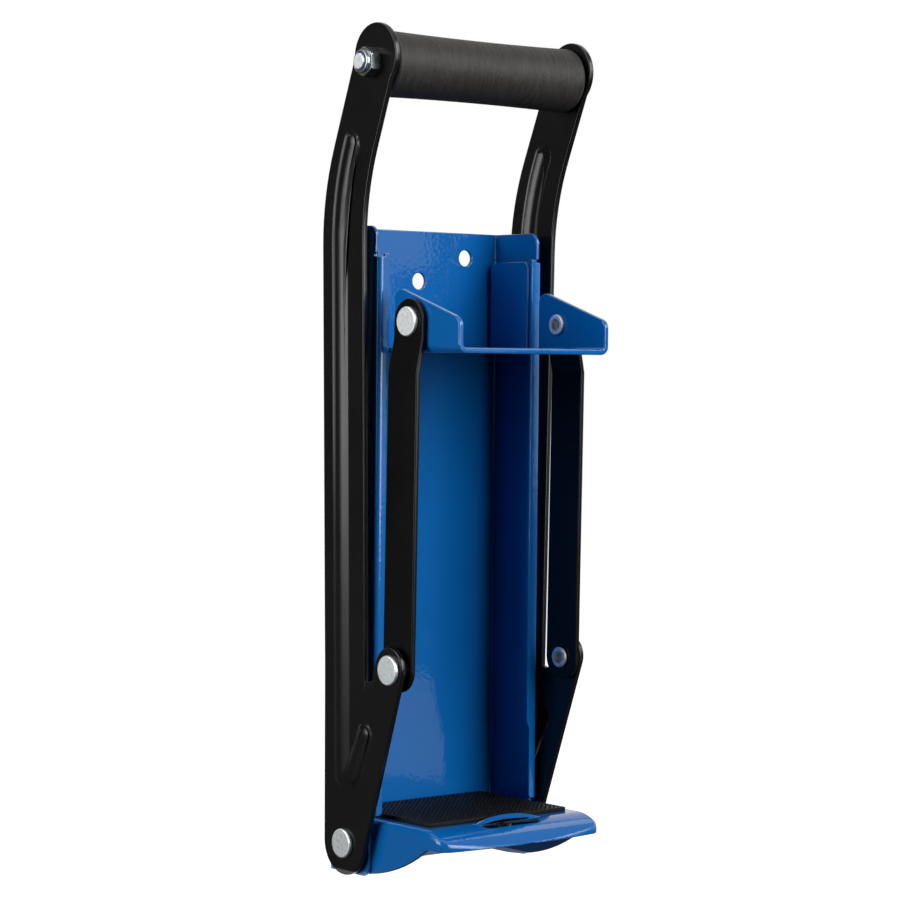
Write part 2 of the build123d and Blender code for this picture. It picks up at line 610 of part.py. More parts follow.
def nut_outer_end():
    """X of the outer end of the nut's collar, on the left."""
    return -(handle_faces() + NUT_HEIGHT + NUT_COLLAR_HEIGHT)


def handle_bolt():
    """Long hexagon bolt through both arms, its head on the right."""
    seat = handle_faces()
    tip = nut_outer_end() - BOLT_STICK_OUT
    shank = round_rims(round_bar(BOLT_DIAMETER / 2, tip, seat, HANDLE_PIVOT), BOLT_STICK_OUT / 2, tip)
    return shank + chamfered_hexagon(seat, seat + BOLT_HEAD_HEIGHT, HANDLE_PIVOT, seat + BOLT_HEAD_HEIGHT)


def handle_nut():
    """Locking nut on the left end of the bolt, with a collar that holds its insert."""
    seat, end = -handle_faces(), nut_outer_end()
    body = chamfered_hexagon(seat - NUT_HEIGHT, seat, HANDLE_PIVOT, seat - NUT_HEIGHT)
    collar = round_bar(NUT_COLLAR / 2, end, seat - NUT_HEIGHT + FIT_GAP, HANDLE_PIVOT)
    body += round_rims(collar, NUT_COLLAR_HEIGHT / 3, end)
    seat_radius, seat_end = NUT_COLLAR / 2 - INSERT_WALL, end + INSERT_THICK + FIT_GAP
    body -= round_bar(seat_radius, end - FIT_GAP, seat_end, HANDLE_PIVOT)
    return body - round_bar(BOLT_DIAMETER / 2 + FIT_GAP, -BIG, 0, HANDLE_PIVOT)


def nut_insert():
    """Nylon ring that locks the nut on the thread."""
    end = nut_outer_end()
    ring = round_bar(NUT_COLLAR / 2 - INSERT_WALL - FIT_GAP, end, end + INSERT_THICK, HANDLE_PIVOT)
    return ring - round_bar(BOLT_DIAMETER / 2 + FIT_GAP, -BIG, 0, HANDLE_PIVOT)


def right_pieces():
    """Pieces made for the right-hand side; each has a mirror twin on the left."""
    ear_inner = HALF_PRESS - PRESS_SHEET
    link_top_outer = LINK_TOP_INNER + LINK_SHEET
    ram_shank = round_bar(RIVET_SHANK / 2, LINK_TOP_INNER, link_top_outer + HEAD_GAP, RAM_PIVOT)
    ear_plug = round_bar(RIVET_SHANK / 2, ear_inner - RIVET_ROLL_THICK / 2, HALF_PRESS, RAM_PIVOT)
    ram_bore = rivet_bore(ear_inner, RAM_PIVOT)
    return {
        "arm": right_arm(),
        "link": right_link(),
        "pivot_spacer": pivot_spacer(),
        "pivot_rivet": rivet(arm_seat(LEVER_PIVOT), HALF_BASE - BASE_SHEET - HEAD_GAP, LEVER_PIVOT),
        "crank_rivet": crank_rivet(),
        "ram_rivet": rivet_head(link_top_outer + HEAD_GAP, RAM_PIVOT) + ram_shank,
        "ram_rivet_end": ear_plug + rivet_end(ear_inner - FIT_GAP, RAM_PIVOT) - ram_bore,
    }


def all_pieces():
    """Every piece by name, with heights counted from the lower edge of the frame."""
    pieces = {
        "back_frame": back_frame(),
        "base_platform": base_platform(),
        "base_pad": base_pad(),
        "press_plate": press_plate(),
        "grip_tube": grip_tube(),
        "grip_sleeve": grip_sleeve(),
        "handle_bolt": handle_bolt(),
        "handle_nut": handle_nut(),
        "nut_insert": nut_insert(),
    }
    for name, solid in right_pieces().items():
        pieces[name + "_right"] = solid
        pieces[name + "_left"] = mirrored(solid)
    return pieces


def main():
    """Write one file per piece, with the centre screw hole at the origin."""
    os.makedirs("parts", exist_ok=True)
    to_origin = Pos(0, 0, -SCREW_HEIGHT)
    for name, solid in all_pieces().items():
        export_step(to_origin * solid, f"parts/{name}.step")


if __name__ == "__main__":
    main()
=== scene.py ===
"""Wall mounted lever can crusher: looks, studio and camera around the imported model.

Metres. X runs across the crusher, -Y to its open front, +Y into the wall, +Z up.
The origin is the centre screw hole, on the wall side of the back plate.
"""

import logging
from dataclasses import dataclass, field
from enum import Enum
from math import cos, pi, radians, sin, tau
from typing import Any, Callable

import bmesh
import bpy
from mathutils import Matrix, Vector, noise
from mathutils.bvhtree import BVHTree


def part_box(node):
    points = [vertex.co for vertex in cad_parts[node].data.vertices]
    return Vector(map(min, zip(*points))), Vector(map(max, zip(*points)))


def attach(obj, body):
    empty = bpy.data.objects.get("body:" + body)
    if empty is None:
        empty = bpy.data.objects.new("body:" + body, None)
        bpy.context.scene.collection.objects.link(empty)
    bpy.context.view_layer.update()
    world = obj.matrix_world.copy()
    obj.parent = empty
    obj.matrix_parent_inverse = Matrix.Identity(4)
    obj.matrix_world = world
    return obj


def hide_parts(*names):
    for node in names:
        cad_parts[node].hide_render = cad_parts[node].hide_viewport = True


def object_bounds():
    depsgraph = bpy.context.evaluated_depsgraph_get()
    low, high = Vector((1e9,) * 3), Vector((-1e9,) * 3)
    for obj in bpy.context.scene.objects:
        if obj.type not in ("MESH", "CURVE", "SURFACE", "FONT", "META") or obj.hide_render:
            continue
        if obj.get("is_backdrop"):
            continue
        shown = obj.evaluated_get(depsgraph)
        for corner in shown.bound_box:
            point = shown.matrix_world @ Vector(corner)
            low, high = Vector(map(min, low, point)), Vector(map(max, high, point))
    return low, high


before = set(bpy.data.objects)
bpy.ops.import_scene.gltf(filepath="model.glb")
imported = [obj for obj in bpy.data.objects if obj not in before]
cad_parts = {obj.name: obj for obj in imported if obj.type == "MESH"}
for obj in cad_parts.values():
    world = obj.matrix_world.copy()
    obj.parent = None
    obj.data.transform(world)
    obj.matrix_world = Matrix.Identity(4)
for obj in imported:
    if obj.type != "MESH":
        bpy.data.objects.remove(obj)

log = logging.getLogger("can_crusher")
MM = 0.001
SAME_POINT = 0.001 * MM
SLIVER = 0.02 * MM**2
OBJECT_MIDDLE = Vector((0, -0.02, -0.08))
WHITE = (1, 1, 1, 1)


class Body(Enum):
    """Moving bodies of the crusher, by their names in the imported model."""

    FRAME = "frame"
    LEVER = "lever"
    RAM = "ram"
    LINK_LEFT = "link_left"
    LINK_RIGHT = "link_right"


class Side(Enum):
    """The two mirrored sides of the crusher, by the ending of their node names."""

    LEFT = "left"
    RIGHT = "right"


# ---------------------------------------------------------------- shader helpers


def linear(hex_code: str) -> tuple[float, float, float, float]:
    """Turn an sRGB hex colour into linear RGBA.

    Args:
        hex_code: colour such as "#0A5CA8".

    Returns:
        Linear red, green and blue, and an alpha of one.
    """
    parts = [int(hex_code[i : i + 2], 16) / 255 for i in (1, 3, 5)]
    red, green, blue = [c / 12.92 if c <= 0.04045 else ((c + 0.055) / 1.055) ** 2.4 for c in parts]
    return red, green, blue, 1.0


def per_metre(millimetres: float) -> float:
    """Scale of a texture whose features are this many millimetres across."""
    return 1 / (millimetres * MM)


def add_node(tree: bpy.types.NodeTree, kind: str, links: dict[Any, Any], **settings: Any) -> bpy.types.Node:
    """Add one shader node with its settings and links.

    Args:
        tree: node tree that gets the node.
        kind: type of the node, without its "ShaderNode" prefix.
        links: value or output socket for each named or numbered input.
        settings: properties of the node itself.

    Returns:
        The new node.
    """
    node = tree.nodes.new("ShaderNode" + kind)
    for name, value in settings.items():
        setattr(node, name, value)
    for name, value in links.items():
        if isinstance(value, bpy.types.NodeSocket):
            tree.links.new(value, node.inputs[name])
        else:
            node.inputs[name].default_value = value
    return node


def empty_tree(material: bpy.types.Material) -> bpy.types.NodeTree:
    """Switch a material to nodes and clear it.

    Args:
        material: the material.

    Returns:
        Its empty node tree.
    """
    material.use_nodes = True
    material.node_tree.nodes.clear()
    return material.node_tree


# ---------------------------------------------------------------- finishes


@dataclass(frozen=True)
class Finish:
    """A finish of the object; each kind builds its own material once."""

    title: str
    slot: str

    def shader(self, tree: bpy.types.NodeTree, place: bpy.types.NodeSocket) -> bpy.types.NodeSocket:
        """Build the surface shader from the object coordinates; each kind has its own."""
        raise NotImplementedError

    def material(self) -> bpy.types.Material:
        """Find the finish's material, or build it on its first use.

        Returns:
            The material.
        """
        known = bpy.data.materials.get(self.title)
        if known:
            return known
        made = bpy.data.materials.new(self.title)
        tree = empty_tree(made)
        place = add_node(tree, "TexCoord", {}).outputs["Object"]
        add_node(tree, "OutputMaterial", {"Surface": self.shader(tree, place)})
        return made

    def dress(self, piece: bpy.types.Object) -> None:
        """Give a piece this finish all over.

        Args:
            piece: the piece or CAD node.
        """
        material = self.material()
        if not piece.material_slots:
            piece.data.materials.append(material)
        for holder in piece.material_slots:
            holder.material = material


@dataclass(frozen=True)
class PowderEnamel(Finish):
    """Polyester powder coat, sprayed and baked on sheet steel.

    It flows out to a hard gloss with a faint orange peel of cells about 2 mm wide,
    so reflections stay bright but their edges ripple. The film is slightly uneven in tone.
    """

    colour: str = "#0561AA"
    thin_colour: str = "#045A9F"
    tone_mm: float = 34.0
    peel_mm: float = 1.8
    peel_depth_mm: float = 0.035
    grain_mm: float = 0.7
    grain_share: float = 0.16

    def shader(self, tree: bpy.types.NodeTree, place: bpy.types.NodeSocket) -> bpy.types.NodeSocket:
        """Blue film under a clear, slightly rippled gloss.

        Args:
            tree: node tree of the material.
            place: object coordinates of the piece.

        Returns:
            The surface shader.
        """
        tone = add_node(tree, "TexNoise", {"Vector": place, "Scale": per_metre(self.tone_mm), "Detail": 2.0})
        tint = add_node(
            tree, "Mix",
            {0: tone.outputs["Fac"], 6: linear(self.thin_colour), 7: linear(self.colour)},
            data_type="RGBA",
        )
        peel = add_node(
            tree, "TexNoise",
            {"Vector": place, "Scale": per_metre(self.peel_mm), "Detail": 1.0, "Roughness": 0.4},
        )
        grain = add_node(
            tree, "TexNoise", {"Vector": place, "Scale": per_metre(self.grain_mm), "Detail": 0.0}
        )
        height = add_node(
            tree, "Math", {0: grain.outputs["Fac"], 1: self.grain_share, 2: peel.outputs["Fac"]},
            operation="MULTIPLY_ADD",
        )
        ripple = add_node(
            tree, "Bump",
            {"Height": height.outputs[0], "Strength": 1.0, "Distance": self.peel_depth_mm * MM},
        )
        paint = add_node(
            tree, "BsdfPrincipled",
            {
                "Base Color": tint.outputs[2], "Roughness": 0.3, "IOR": 1.5, "Specular IOR Level": 0.05,
                "Normal": ripple.outputs[0], "Coat Weight": 0.9, "Coat Roughness": 0.05, "Coat IOR": 1.5,
                "Coat Normal": ripple.outputs[0],
            },
        )
        return paint.outputs[0]


@dataclass(frozen=True)
class SatinCoat(Finish):
    """Black satin powder coat on pressed steel.

    A little rougher than enamel: highlights spread wide, with the fine pebble of the powder.
    The real pebble is about 0.3 mm; it is drawn twice as coarse so that it shows.
    """

    colour: str = "#080808"
    pebble_mm: float = 0.62
    pebble_depth_mm: float = 0.006
    smear_mm: float = 21.0
    dullness: tuple[float, float] = (0.27, 0.2)
    sheen: float = 0.37

    def shader(self, tree: bpy.types.NodeTree, place: bpy.types.NodeSocket) -> bpy.types.NodeSocket:
        """Near black film with a wide soft highlight.

        Args:
            tree: node tree of the material.
            place: object coordinates of the piece.

        Returns:
            The surface shader.
        """
        dullest, glossiest = self.dullness
        smear = add_node(
            tree, "TexNoise", {"Vector": place, "Scale": per_metre(self.smear_mm), "Detail": 3.0}
        )
        gloss = add_node(
            tree, "MapRange", {"Value": smear.outputs["Fac"], "To Min": glossiest, "To Max": dullest}
        )
        pebble = add_node(
            tree, "TexNoise", {"Vector": place, "Scale": per_metre(self.pebble_mm), "Detail": 1.5}
        )
        relief = add_node(
            tree, "Bump",
            {"Height": pebble.outputs["Fac"], "Strength": 1.0, "Distance": self.pebble_depth_mm * MM},
        )
        paint = add_node(
            tree, "BsdfPrincipled",
            {
                "Base Color": linear(self.colour), "Roughness": gloss.outputs[0], "IOR": 1.5,
                "Specular IOR Level": self.sheen, "Normal": relief.outputs[0],
            },
        )
        return paint.outputs[0]


@dataclass(frozen=True)
class BrightZinc(Finish):
    """Clear passivated zinc plate on cold headed steel.

    A pale, clouded metal; tumbling in the plating drum leaves small dents and scuffs.
    """

    colour: str = "#E8EBEB"
    cloud_colour: str = "#B2B8BB"
    cloud_mm: float = 2.0
    cloud_span: tuple[float, float] = (0.35, 0.65)
    dent_mm: float = 0.9
    dent_depth_mm: float = 0.03
    dullness: tuple[float, float] = (0.56, 0.36)

    def shader(self, tree: bpy.types.NodeTree, place: bpy.types.NodeSocket) -> bpy.types.NodeSocket:
        """Pale metal with clouds and small dents.

        Args:
            tree: node tree of the material.
            place: object coordinates of the piece.

        Returns:
            The surface shader.
        """
        low, high = self.cloud_span
        dullest, glossiest = self.dullness
        cloud = add_node(
            tree, "TexNoise", {"Vector": place, "Scale": per_metre(self.cloud_mm), "Detail": 3.0}
        )
        mottle = add_node(
            tree, "MapRange", {"Value": cloud.outputs["Fac"], "From Min": low, "From Max": high}
        )
        tint = add_node(
            tree, "Mix",
            {0: mottle.outputs[0], 6: linear(self.cloud_colour), 7: linear(self.colour)},
            data_type="RGBA",
        )
        gloss = add_node(
            tree, "MapRange", {"Value": mottle.outputs[0], "To Min": dullest, "To Max": glossiest}
        )
        dents = add_node(
            tree, "TexNoise", {"Vector": place, "Scale": per_metre(self.dent_mm), "Detail": 1.0}
        )
        relief = add_node(
            tree, "Bump",
            {"Height": dents.outputs["Fac"], "Strength": 1.0, "Distance": self.dent_depth_mm * MM},
        )
        metal = add_node(
            tree, "BsdfPrincipled",
            {
                "Base Color": tint.outputs[2], "Metallic": 1.0, "Roughness": gloss.outputs[0],
                "Normal": relief.outputs[0],
            },
        )
        return metal.outputs[0]


@dataclass(frozen=True)
class MouldedRubber(Finish):
    """Black nitrile rubber sheet, moulded with a diamond tread.

    Matt, with a grey bloom in small spots and a fine grain from the mould.
    """

    colour: str = "#020202"
    bloom_colour: str = "#171615"
    bloom_mm: float = 1.3
    grain_mm: float = 0.5
    grain_depth_mm: float = 0.03

    def shader(self, tree: bpy.types.NodeTree, place: bpy.types.NodeSocket) -> bpy.types.NodeSocket:
        """Matt black that greys a little from place to place.

        Args:
            tree: node tree of the material.
            place: object coordinates of the piece.

        Returns:
            The surface shader.
        """
        bloom = add_node(
            tree, "TexNoise", {"Vector": place, "Scale": per_metre(self.bloom_mm), "Detail": 2.0}
        )
        tint = add_node(
            tree, "Mix",
            {0: bloom.outputs["Fac"], 6: linear(self.colour), 7: linear(self.bloom_colour)},
            data_type="RGBA",
        )
        grain = add_node(tree, "TexNoise", {"Vector": place, "Scale": per_metre(self.grain_mm)})
        relief = add_node(
            tree, "Bump",
            {"Height": grain.outputs["Fac"], "Strength": 0.6, "Distance": self.grain_depth_mm * MM},
        )
        rubber = add_node(
            tree, "BsdfPrincipled",
            {
                "Base Color": tint.outputs[2], "Roughness": 0.5, "IOR": 1.5, "Specular IOR Level": 0.1,
                "Normal": relief.outputs[0],
            },
        )
        return rubber.outputs[0]


@dataclass(frozen=True)
class ClosedCellFoam(Finish):
    """Black closed cell foam tube, stretched over the steel tube of the handle.

    The skin is dull and puckers into fine creases that run round the grip, about 1 mm apart,
    and are deepest in patches.
    """

    colour: str = "#171615"
    # Painted highlight: the crests of the creases are drawn in this lighter colour, their grooves in the
    # darker one.
    crest_highlight_colour: str = "#353230"
    crease_mm: float = 1.15
    crease_run_mm: float = 7.0
    crease_depth_mm: float = 0.36
    crease_span: tuple[float, float] = (0.2, 0.8)
    patch_mm: float = 19.0
    patch_span: tuple[float, float] = (0.4, 0.6)
    calm_share: float = 0.15
    pore_mm: float = 0.55
    pore_share: float = 0.12

    def shader(self, tree: bpy.types.NodeTree, place: bpy.types.NodeSocket) -> bpy.types.NodeSocket:
        """Dull black skin with creases round the grip and fine pores, drawn lighter on the crease crests and
        darker in their grooves as painted shade.

        Args:
            tree: node tree of the material.
            place: object coordinates of the piece.

        Returns:
            The surface shader.
        """
        along, round_grip = per_metre(self.crease_mm), per_metre(self.crease_run_mm)
        run = add_node(tree, "Mapping", {"Vector": place, "Scale": Vector((along, round_grip, round_grip))})
        crease = add_node(
            tree, "TexNoise",
            {"Vector": run.outputs[0], "Scale": 1.0, "Detail": 2.0, "Roughness": 0.55, "Distortion": 0.9},
        )
        patch = add_node(
            tree, "TexNoise", {"Vector": place, "Scale": per_metre(self.patch_mm), "Detail": 1.0}
        )
        calm, lively = self.patch_span
        depth = add_node(
            tree, "MapRange",
            {
                "Value": patch.outputs["Fac"], "From Min": calm, "From Max": lively,
                "To Min": self.calm_share, "To Max": 1.0,
            },
        )
        folds = add_node(
            tree, "Math", {0: crease.outputs["Fac"], 1: depth.outputs[0]}, operation="MULTIPLY"
        )
        pores = add_node(tree, "TexNoise", {"Vector": place, "Scale": per_metre(self.pore_mm)})
        height = add_node(
            tree, "Math", {0: pores.outputs["Fac"], 1: self.pore_share, 2: folds.outputs[0]},
            operation="MULTIPLY_ADD",
        )
        relief = add_node(
            tree, "Bump",
            {"Height": height.outputs[0], "Strength": 1.0, "Distance": self.crease_depth_mm * MM},
        )
        # Painted crease shade: the same noise as the relief makes the skin lighter on the crests and darker
        # in the grooves.
        low, high = self.crease_span
        crease_shade_mask = add_node(
            tree, "MapRange", {"Value": crease.outputs["Fac"], "From Min": low, "From Max": high}
        )
        tint = add_node(
            tree, "Mix",
            {0: crease_shade_mask.outputs[0], 6: linear(self.colour), 7: linear(self.crest_highlight_colour)},
            data_type="RGBA",
        )
        foam = add_node(
            tree, "BsdfPrincipled",
            {
                "Base Color": tint.outputs[2], "Roughness": 0.55, "IOR": 1.5, "Specular IOR Level": 0.25,
                "Normal": relief.outputs[0],
            },
        )
        return foam.outputs[0]


@dataclass(frozen=True)
class DyedNylon(Finish):
    """Dyed nylon ring of the locking nut: dark blue plastic, unevenly scuffed."""

    colour: str = "#1B2C66"
    scuff_mm: float = 0.6
    dullness: tuple[float, float] = (0.6, 0.35)

    def shader(self, tree: bpy.types.NodeTree, place: bpy.types.NodeSocket) -> bpy.types.NodeSocket:
        """Dark blue plastic whose gloss changes with its scuffs.

        Args:
            tree: node tree of the material.
            place: object coordinates of the piece.

        Returns:
            The surface shader.
        """
        dullest, glossiest = self.dullness
        scuff = add_node(
            tree, "TexNoise", {"Vector": place, "Scale": per_metre(self.scuff_mm), "Detail": 2.0}
        )
        gloss = add_node(
            tree, "MapRange", {"Value": scuff.outputs["Fac"], "To Min": glossiest, "To Max": dullest}
        )
        nylon = add_node(
            tree, "BsdfPrincipled",
            {"Base Color": linear(self.colour), "Roughness": gloss.outputs[0], "IOR": 1.53},
        )
        return nylon.outputs[0]


FRAME_ENAMEL = PowderEnamel("polyester_powder_enamel_blue", "frame_enamel")
ARM_COATING = SatinCoat("satin_powder_coat_black", "arm_coating")
LINK_COATING = SatinCoat("satin_powder_coat_black_links", "arm_coating", sheen=0.2)
ZINC = BrightZinc("clear_zinc_plate", "zinc_steel")
# Painted shade: the nut's zinc plate is drawn darker than the same plate on the rivets, for the nut's darker
# facets.
SHADED_NUT_ZINC = BrightZinc(
    "zinc_plate_nut_painted_shade", "zinc_steel", colour="#AEB4B8", cloud_colour="#83898D", dent_depth_mm=0.008,
    dullness=(0.3, 0.2),
)
PAD_RUBBER = MouldedRubber("moulded_nitrile_rubber", "pad_rubber")
GRIP_FOAM = ClosedCellFoam("closed_cell_foam", "grip_foam")
NYLON = DyedNylon("dyed_nylon", "insert_nylon")


# ---------------------------------------------------------------- piece helpers


def new_piece(name: str, shape: bmesh.types.BMesh, smooth_below: float = 40.0) -> bpy.types.Object:
    """Turn a finished bmesh into an object at the origin.

    Args:
        name: name of the piece.
        shape: its mesh, in the frame's own metres; it is freed here.
        smooth_below: edges flatter than this angle in degrees are shaded smooth.

    Returns:
        The new object.
    """
    mesh = bpy.data.meshes.new(name)
    shape.to_mesh(mesh)
    shape.free()
    mesh.polygons.foreach_set("use_smooth", [True] * len(mesh.polygons))
    mesh.set_sharp_from_angle(angle=radians(smooth_below))
    piece = bpy.data.objects.new(name, mesh)
    bpy.context.scene.collection.objects.link(piece)
    return piece


def place_piece(piece: bpy.types.Object, body: Body, finish: Finish, *nodes: str) -> None:
    """Dress a new piece, let it ride on its body and hide what it stands for.

    Args:
        piece: the new object.
        body: the body that it moves with.
        finish: its finish.
        nodes: CAD nodes that it replaces.
    """
    finish.dress(piece)
    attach(piece, body.value)
    if nodes:
        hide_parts(*nodes)
    log.info("%s: %d faces on %s", piece.name, len(piece.data.polygons), body.value)


def spun(outline: list[tuple[float, float]], centre: Vector, steps: int) -> bmesh.types.BMesh:
    """Turn an outline round an axis along X.

    Args:
        outline: points as (X, radius), in metres; X is absolute.
        centre: a point on the axis.
        steps: number of segments round the axis.

    Returns:
        The turned mesh, with its doubles merged and its faces outwards.
    """
    shape = bmesh.new()
    chain = [shape.verts.new((x, centre.y, centre.z + radius)) for x, radius in outline]
    edges = [shape.edges.new(pair) for pair in zip(chain, chain[1:])]
    bmesh.ops.spin(
        shape, geom=chain + edges, cent=centre, axis=(1, 0, 0), angle=tau, steps=steps, use_merge=True
    )
    bmesh.ops.remove_doubles(shape, verts=shape.verts, dist=SAME_POINT)
    bmesh.ops.recalc_face_normals(shape, faces=shape.faces)
    return shape


@dataclass
class SheetPart:
    """A pressed sheet part or a nut: the CAD shape with its sharp edges broken."""

    node: str
    body: Body
    finish: Finish
    edge_radius: float
    sharp_above: float = 60.0
    flat_below: float = 0.4

    def sharp_edges(self, shape: bmesh.types.BMesh) -> list[bmesh.types.BMEdge]:
        """Find the edges that the press or the cut leaves sharp.

        Args:
            shape: mesh of the part.

        Returns:
            Its sharp edges, without those of slivers.
        """
        limit = radians(self.sharp_above)
        return [
            e for e in shape.edges
            if len(e.link_faces) == 2 and limit < e.calc_face_angle(0) < pi - limit
            and min(f.calc_area() for f in e.link_faces) > SLIVER
        ]

    def build(self) -> None:
        """Copy the CAD node, round its sharp edges and dress it."""
        shape = bmesh.new()
        shape.from_mesh(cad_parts[self.node].data)
        bmesh.ops.remove_doubles(shape, verts=shape.verts, dist=2 * SAME_POINT)
        bmesh.ops.dissolve_limit(
            shape, angle_limit=radians(self.flat_below), verts=shape.verts, edges=shape.edges,
            use_dissolve_boundaries=False,
        )
        pressed = BVHTree.FromBMesh(shape)
        bmesh.ops.bevel(
            shape, geom=self.sharp_edges(shape), offset=self.edge_radius, offset_type="OFFSET",
            affect="EDGES", segments=2, profile=0.5, material=-1, clamp_overlap=False, loop_slide=True,
        )
        for vert in shape.verts:
            spot, _, _, gap = pressed.find_nearest(vert.co)
            if gap > self.edge_radius / 2:
                vert.co = spot
        piece = new_piece(self.node + "_coated", shape)
        weigh = piece.modifiers.new("even_shading", "WEIGHTED_NORMAL")
        weigh.keep_sharp = True
        place_piece(piece, self.body, self.finish, self.node)


# ---------------------------------------------------------------- sub-assemblies


@dataclass
class FrameAssembly:
    """Back frame and base platform in blue enamel, with the pivot rivets and washers."""

    edge_radius: float = 0.4 * MM

    def build(self) -> None:
        """Build the sheet parts and plate the small ones."""
        for node in ("back_frame", "base_platform"):
            SheetPart(node, Body.FRAME, FRAME_ENAMEL, self.edge_radius).build()
        for side in Side:
            for node in ("pivot_rivet", "pivot_spacer"):
                ZINC.dress(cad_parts[f"{node}_{side.value}"])


@dataclass
class TreadPad:
    """Rubber pad with a moulded diamond tread inside a plain margin."""

    pitch: float = 1.53 * MM
    point_height: float = 0.55 * MM
    margin: float = 1.1 * MM
    margin_drop: float = 0.341 * MM
    rim_bevel: float = 0.25 * MM
    whole_cell: float = 0.7
    smooth_below: float = 20.0

    def tread(self, low: Vector, high: Vector) -> bmesh.types.BMesh:
        """Grid of small pyramids laid diagonally, trimmed to the pad inside its margin.

        Args:
            low: lowest corner of the pad.
            high: highest corner of the pad.

        Returns:
            The trimmed sheet of pyramids, whose points reach the top of the pad.
        """
        centre = (low + high) / 2
        reach = (high - low).length / 2
        cells = int(2 * reach / self.pitch) + 1
        floor = high.z - self.point_height
        shape = bmesh.new()
        turn = Matrix.Translation((centre.x, centre.y, floor)) @ Matrix.Rotation(radians(45), 4, "Z")
        bmesh.ops.create_grid(
            shape, x_segments=cells, y_segments=cells, size=cells * self.pitch / 2, matrix=turn
        )
        for x, y, nx, ny in (
            (low.x + self.margin, 0, -1, 0), (high.x - self.margin, 0, 1, 0),
            (0, low.y + self.margin, 0, -1), (0, high.y - self.margin, 0, 1),
        ):
            bmesh.ops.bisect_plane(
                shape, geom=shape.verts[:] + shape.edges[:] + shape.faces[:], plane_co=(x, y, 0),
                plane_no=(nx, ny, 0), clear_outer=True,
            )
        whole = self.pitch**2 * self.whole_cell
        full = [f for f in shape.faces if f.calc_area() > whole]
        bmesh.ops.poke(shape, faces=full, offset=self.point_height, center_mode="MEAN")
        return shape

    def build_tread(self, low: Vector, high: Vector) -> None:
        """Tread with skirts down to the underside of the pad.

        Args:
            low: lowest corner of the pad.
            high: highest corner of the pad.
        """
        shape = self.tread(low, high)
        rim = [e for e in shape.edges if e.is_boundary]
        skirt = bmesh.ops.extrude_edge_only(shape, edges=rim)["geom"]
        for vert in [v for v in skirt if isinstance(v, bmesh.types.BMVert)]:
            vert.co.z = low.z
        place_piece(new_piece("base_pad_tread", shape, self.smooth_below), Body.FRAME, PAD_RUBBER)

    def build(self) -> None:
        """Tread on top of a plain slab with softened edges."""
        low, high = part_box("base_pad")
        self.build_tread(low, high)
        slab = bmesh.new()
        size = high - low
        level = high.z - self.margin_drop
        place = Matrix.Translation(((low.x + high.x) / 2, (low.y + high.y) / 2, (low.z + level) / 2))
        scale = Matrix.Diagonal((size.x, size.y, level - low.z, 1))
        bmesh.ops.create_cube(slab, size=1, matrix=place @ scale)
        bmesh.ops.bevel(
            slab, geom=slab.edges[:], offset=self.rim_bevel, affect="EDGES", segments=3, profile=0.5,
            material=-1,
        )
        place_piece(new_piece("base_pad_sheet", slab), Body.FRAME, PAD_RUBBER, "base_pad")


@dataclass
class PressAssembly:
    """Press plate that runs on the rails, with the rolled ends of its rivets."""

    edge_radius: float = 0.55 * MM

    def build(self) -> None:
        """Build the channel and plate the rivet ends."""
        SheetPart("press_plate", Body.RAM, FRAME_ENAMEL, self.edge_radius).build()
        for side in Side:
            ZINC.dress(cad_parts[f"ram_rivet_end_{side.value}"])


@dataclass
class Linkage:
    """The two links with the heads of the ram rivets."""

    edge_radius: float = 0.5 * MM

    def build(self) -> None:
        """Coat the links and plate their rivets."""
        for side, body in ((Side.LEFT, Body.LINK_LEFT), (Side.RIGHT, Body.LINK_RIGHT)):
            SheetPart(f"link_{side.value}", body, LINK_COATING, self.edge_radius).build()
            ZINC.dress(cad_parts[f"ram_rivet_{side.value}"])


